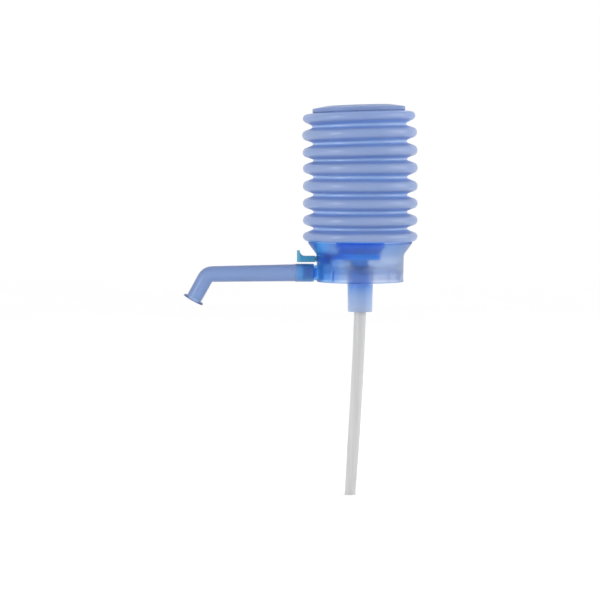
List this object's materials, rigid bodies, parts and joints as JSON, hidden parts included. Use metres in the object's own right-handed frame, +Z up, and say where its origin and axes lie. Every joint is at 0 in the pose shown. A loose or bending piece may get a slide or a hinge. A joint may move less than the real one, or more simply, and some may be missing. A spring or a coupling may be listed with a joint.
{
  "type": "water jug hand pump",
  "caption": "Hand-pressed bellows pump that seats on a large water bottle's neck, with a riser tube below, a swivelling side spout and a small tap above it.",
  "frame": {"origin": "on the pump's axis, in the plane where the bottle's mouth meets the underside of the gasket", "axes": "+Z up along the pump's axis, away from the bottle; the spout points along -X; +Y completes the right-handed frame"},
  "size_m": [0.1729, 0.0844, 0.2895],
  "materials": {
    "blue_body": "translucent blue polyethylene, satin",
    "blue_bellows": "translucent soft blue polyethylene, waxy satin",
    "blue_inner": "deep blue polyethylene",
    "teal_tap": "glossy teal plastic",
    "milky_tube": "milky translucent grey-white tube",
    "clear_silicone": "translucent silicone"
  },
  "bodies": {
    "pump_head": {"pump_body": "blue_body", "valve_deck": "blue_inner", "duct_washer": "clear_silicone", "neck_gasket": "clear_silicone", "riser_sleeve": "blue_body", "riser_tube": "milky_tube", "valve_plate": "blue_inner", "bellows": "blue_bellows", "bellows_clamp": "blue_inner", "tap_ring": "clear_silicone", "spout_ring": "clear_silicone"},
    "press_head": {"press_cap": "blue_bellows", "inlet_valve_seat": "blue_inner"},
    "inlet_disc": {"inlet_valve": "clear_silicone"},
    "outlet_disc": {"outlet_valve": "clear_silicone"},
    "tap": {"tap_plug": "teal_tap", "tap_handle": "teal_tap"},
    "spout_arm": {"spout": "blue_body"}
  },
  "joints": [
    {"name": "press_stroke", "type": "slide", "parent": "pump_head", "child": "press_head", "axis": [0, 0, -1], "range_m": [0, 0.05], "stiffness_N_per_m": 600, "deforming": ["bellows"]},
    {"name": "spout_swivel", "type": "hinge", "parent": "pump_head", "child": "spout_arm", "pos_m": [-0.0342, 0, -0.00145], "axis": [1, 0, 0], "continuous": true},
    {"name": "tap_turn", "type": "hinge", "parent": "pump_head", "child": "tap", "pos_m": [-0.0295, 0, 0.0088], "axis": [1, 0, 0], "range_deg": [0, 90]},
    {"name": "inlet_valve_lift", "type": "slide", "parent": "press_head", "child": "inlet_disc", "axis": [0.0314, 0, -0.9995], "range_m": [0, 0.0009], "stiffness_N_per_m": 30, "springref_m": -0.001},
    {"name": "outlet_valve_lift", "type": "slide", "parent": "pump_head", "child": "outlet_disc", "axis": [0, 0, -1], "range_m": [0, 0.0009], "stiffness_N_per_m": 30, "springref_m": -0.001}
  ]
}
